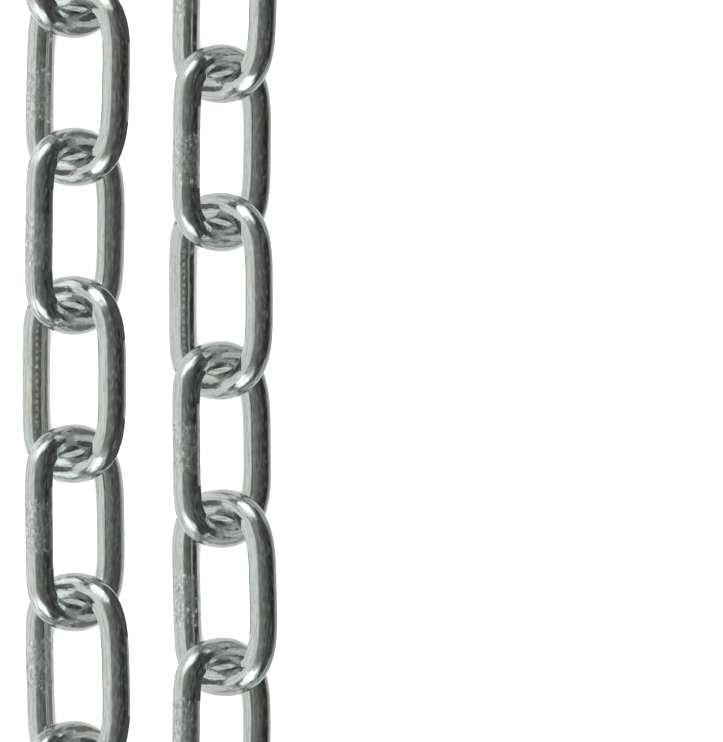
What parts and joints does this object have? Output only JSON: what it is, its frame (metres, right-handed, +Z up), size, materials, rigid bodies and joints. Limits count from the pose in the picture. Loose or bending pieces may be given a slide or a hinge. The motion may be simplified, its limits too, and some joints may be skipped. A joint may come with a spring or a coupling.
{
  "type": "steel chain",
  "caption": "Length of bright zinc-plated welded steel chain lying flat, doubled back on itself in two straight strands.",
  "frame": {"origin": "on the floor under the middle of the chain's outline", "axes": "+Y along the two strands, towards the fold; +Z up"},
  "size_m": [0.0912, 0.4902, 0.0214],
  "materials": {
    "zinc_plated_steel": "bright zinc plating over drawn steel wire, with fine lengthwise draw lines"
  },
  "bodies": {
    "link_01": {"link_01": "zinc_plated_steel"},
    "link_02": {"link_02": "zinc_plated_steel"},
    "link_03": {"link_03": "zinc_plated_steel"},
    "link_04": {"link_04": "zinc_plated_steel"},
    "link_05": {"link_05": "zinc_plated_steel"},
    "link_06": {"link_06": "zinc_plated_steel"},
    "link_07": {"link_07": "zinc_plated_steel"},
    "link_08": {"link_08": "zinc_plated_steel"},
    "link_09": {"link_09": "zinc_plated_steel"},
    "link_10": {"link_10": "zinc_plated_steel"},
    "link_11": {"link_11": "zinc_plated_steel"},
    "link_12": {"link_12": "zinc_plated_steel"},
    "link_13": {"link_13": "zinc_plated_steel"},
    "link_14": {"link_14": "zinc_plated_steel"},
    "link_15": {"link_15": "zinc_plated_steel"},
    "link_16": {"link_16": "zinc_plated_steel"},
    "link_17": {"link_17": "zinc_plated_steel"},
    "link_18": {"link_18": "zinc_plated_steel"},
    "link_19": {"link_19": "zinc_plated_steel"},
    "link_20": {"link_20": "zinc_plated_steel"},
    "link_21": {"link_21": "zinc_plated_steel"},
    "link_22": {"link_22": "zinc_plated_steel"},
    "link_23": {"link_23": "zinc_plated_steel"},
    "link_24": {"link_24": "zinc_plated_steel"},
    "link_25": {"link_25": "zinc_plated_steel"},
    "link_26": {"link_26": "zinc_plated_steel"},
    "link_27": {"link_27": "zinc_plated_steel"},
    "link_28": {"link_28": "zinc_plated_steel"},
    "link_29": {"link_29": "zinc_plated_steel"},
    "link_30": {"link_30": "zinc_plated_steel"},
    "link_31": {"link_31": "zinc_plated_steel"},
    "link_32": {"link_32": "zinc_plated_steel"}
  },
  "joints": [
    {"name": "link_01_to_link_02", "type": "hinge", "parent": "link_01", "child": "link_02", "pos_m": [-0.02068, -0.20769, 0.01071], "axis": [1, 0, 0], "range_deg": [-14, 14]},
    {"name": "link_02_to_link_03", "type": "hinge", "parent": "link_02", "child": "link_03", "pos_m": [-0.02068, -0.17659, 0.01071], "axis": [-1, 0, 0], "range_deg": [-14, 14]},
    {"name": "link_03_to_link_04", "type": "hinge", "parent": "link_03", "child": "link_04", "pos_m": [-0.02068, -0.14549, 0.01071], "axis": [1, 0, 0], "range_deg": [-14, 14]},
    {"name": "link_04_to_link_05", "type": "hinge", "parent": "link_04", "child": "link_05", "pos_m": [-0.02068, -0.11439, 0.01071], "axis": [-1, 0, 0], "range_deg": [-14, 14]},
    {"name": "link_05_to_link_06", "type": "hinge", "parent": "link_05", "child": "link_06", "pos_m": [-0.02068, -0.08328, 0.01071], "axis": [1, 0, 0], "range_deg": [-14, 14]},
    {"name": "link_06_to_link_07", "type": "hinge", "parent": "link_06", "child": "link_07", "pos_m": [-0.02068, -0.05218, 0.01071], "axis": [-1, 0, 0], "range_deg": [-14, 14]},
    {"name": "link_07_to_link_08", "type": "hinge", "parent": "link_07", "child": "link_08", "pos_m": [-0.02068, -0.02108, 0.01071], "axis": [1, 0, 0], "range_deg": [-14, 14]},
    {"name": "link_08_to_link_09", "type": "hinge", "parent": "link_08", "child": "link_09", "pos_m": [-0.02068, 0.01002, 0.01071], "axis": [-1, 0, 0], "range_deg": [-14, 14]},
    {"name": "link_09_to_link_10", "type": "hinge", "parent": "link_09", "child": "link_10", "pos_m": [-0.02068, 0.04112, 0.01071], "axis": [1, 0, 0], "range_deg": [-14, 14]},
    {"name": "link_10_to_link_11", "type": "hinge", "parent": "link_10", "child": "link_11", "pos_m": [-0.02068, 0.07222, 0.01071], "axis": [-1, 0, 0], "range_deg": [-14, 14]},
    {"name": "link_11_to_link_12", "type": "hinge", "parent": "link_11", "child": "link_12", "pos_m": [-0.02068, 0.10332, 0.01071], "axis": [1, 0, 0], "range_deg": [-14, 14]},
    {"name": "link_12_to_link_13", "type": "hinge", "parent": "link_12", "child": "link_13", "pos_m": [-0.02068, 0.13442, 0.01071], "axis": [-1, 0, 0], "range_deg": [-14, 14]},
    {"name": "link_13_to_link_14", "type": "hinge", "parent": "link_13", "child": "link_14", "pos_m": [-0.02068, 0.16497, 0.01071], "axis": [0.8625, 0.506, 0], "range_deg": [-14, 14]},
    {"name": "link_14_to_link_15", "type": "hinge", "parent": "link_14", "child": "link_15", "pos_m": [-0.03577, 0.1907, 0.01071], "axis": [0, 0, 1], "range_deg": [0, 40]},
    {"name": "link_15_to_link_16", "type": "hinge", "parent": "link_15", "child": "link_16", "pos_m": [-0.03045, 0.21972, 0.01071], "axis": [0, 0, 1], "range_deg": [0, 45]},
    {"name": "link_16_to_link_17", "type": "hinge", "parent": "link_16", "child": "link_17", "pos_m": [-0.00612, 0.23589, 0.01071], "axis": [0, 0, 1], "range_deg": [0, 47]},
    {"name": "link_17_to_link_18", "type": "hinge", "parent": "link_17", "child": "link_18", "pos_m": [0.02209, 0.2288, 0.01071], "axis": [0, 0, 1], "range_deg": [0, 46]},
    {"name": "link_18_to_link_19", "type": "hinge", "parent": "link_18", "child": "link_19", "pos_m": [0.03634, 0.20329, 0.01071], "axis": [0, 0, 1], "range_deg": [0, 42]},
    {"name": "link_19_to_link_20", "type": "hinge", "parent": "link_19", "child": "link_20", "pos_m": [0.02949, 0.17431, 0.01071], "axis": [0, 0, 1], "range_deg": [0, 26]},
    {"name": "link_20_to_link_21", "type": "hinge", "parent": "link_20", "child": "link_21", "pos_m": [0.01044, 0.1512, 0.01071], "axis": [1, 0, 0], "range_deg": [-14, 14]},
    {"name": "link_21_to_link_22", "type": "hinge", "parent": "link_21", "child": "link_22", "pos_m": [0.01044, 0.12079, 0.01071], "axis": [-1, 0, 0], "range_deg": [-14, 14]},
    {"name": "link_22_to_link_23", "type": "hinge", "parent": "link_22", "child": "link_23", "pos_m": [0.01044, 0.08969, 0.01071], "axis": [1, 0, 0], "range_deg": [-14, 14]},
    {"name": "link_23_to_link_24", "type": "hinge", "parent": "link_23", "child": "link_24", "pos_m": [0.01044, 0.05859, 0.01071], "axis": [-1, 0, 0], "range_deg": [-14, 14]},
    {"name": "link_24_to_link_25", "type": "hinge", "parent": "link_24", "child": "link_25", "pos_m": [0.01044, 0.02748, 0.01071], "axis": [1, 0, 0], "range_deg": [-14, 14]},
    {"name": "link_25_to_link_26", "type": "hinge", "parent": "link_25", "child": "link_26", "pos_m": [0.01044, -0.00362, 0.01071], "axis": [-1, 0, 0], "range_deg": [-14, 14]},
    {"name": "link_26_to_link_27", "type": "hinge", "parent": "link_26", "child": "link_27", "pos_m": [0.01044, -0.03472, 0.01071], "axis": [1, 0, 0], "range_deg": [-14, 14]},
    {"name": "link_27_to_link_28", "type": "hinge", "parent": "link_27", "child": "link_28", "pos_m": [0.01044, -0.06582, 0.01071], "axis": [-1, 0, 0], "range_deg": [-14, 14]},
    {"name": "link_28_to_link_29", "type": "hinge", "parent": "link_28", "child": "link_29", "pos_m": [0.01044, -0.09692, 0.01071], "axis": [1, 0, 0], "range_deg": [-14, 14]},
    {"name": "link_29_to_link_30", "type": "hinge", "parent": "link_29", "child": "link_30", "pos_m": [0.01044, -0.12802, 0.01071], "axis": [-1, 0, 0], "range_deg": [-14, 14]},
    {"name": "link_30_to_link_31", "type": "hinge", "parent": "link_30", "child": "link_31", "pos_m": [0.01044, -0.15912, 0.01071], "axis": [1, 0, 0], "range_deg": [-14, 14]},
    {"name": "link_31_to_link_32", "type": "hinge", "parent": "link_31", "child": "link_32", "pos_m": [0.01044, -0.19022, 0.01071], "axis": [-1, 0, 0], "range_deg": [-14, 14]}
  ]
}
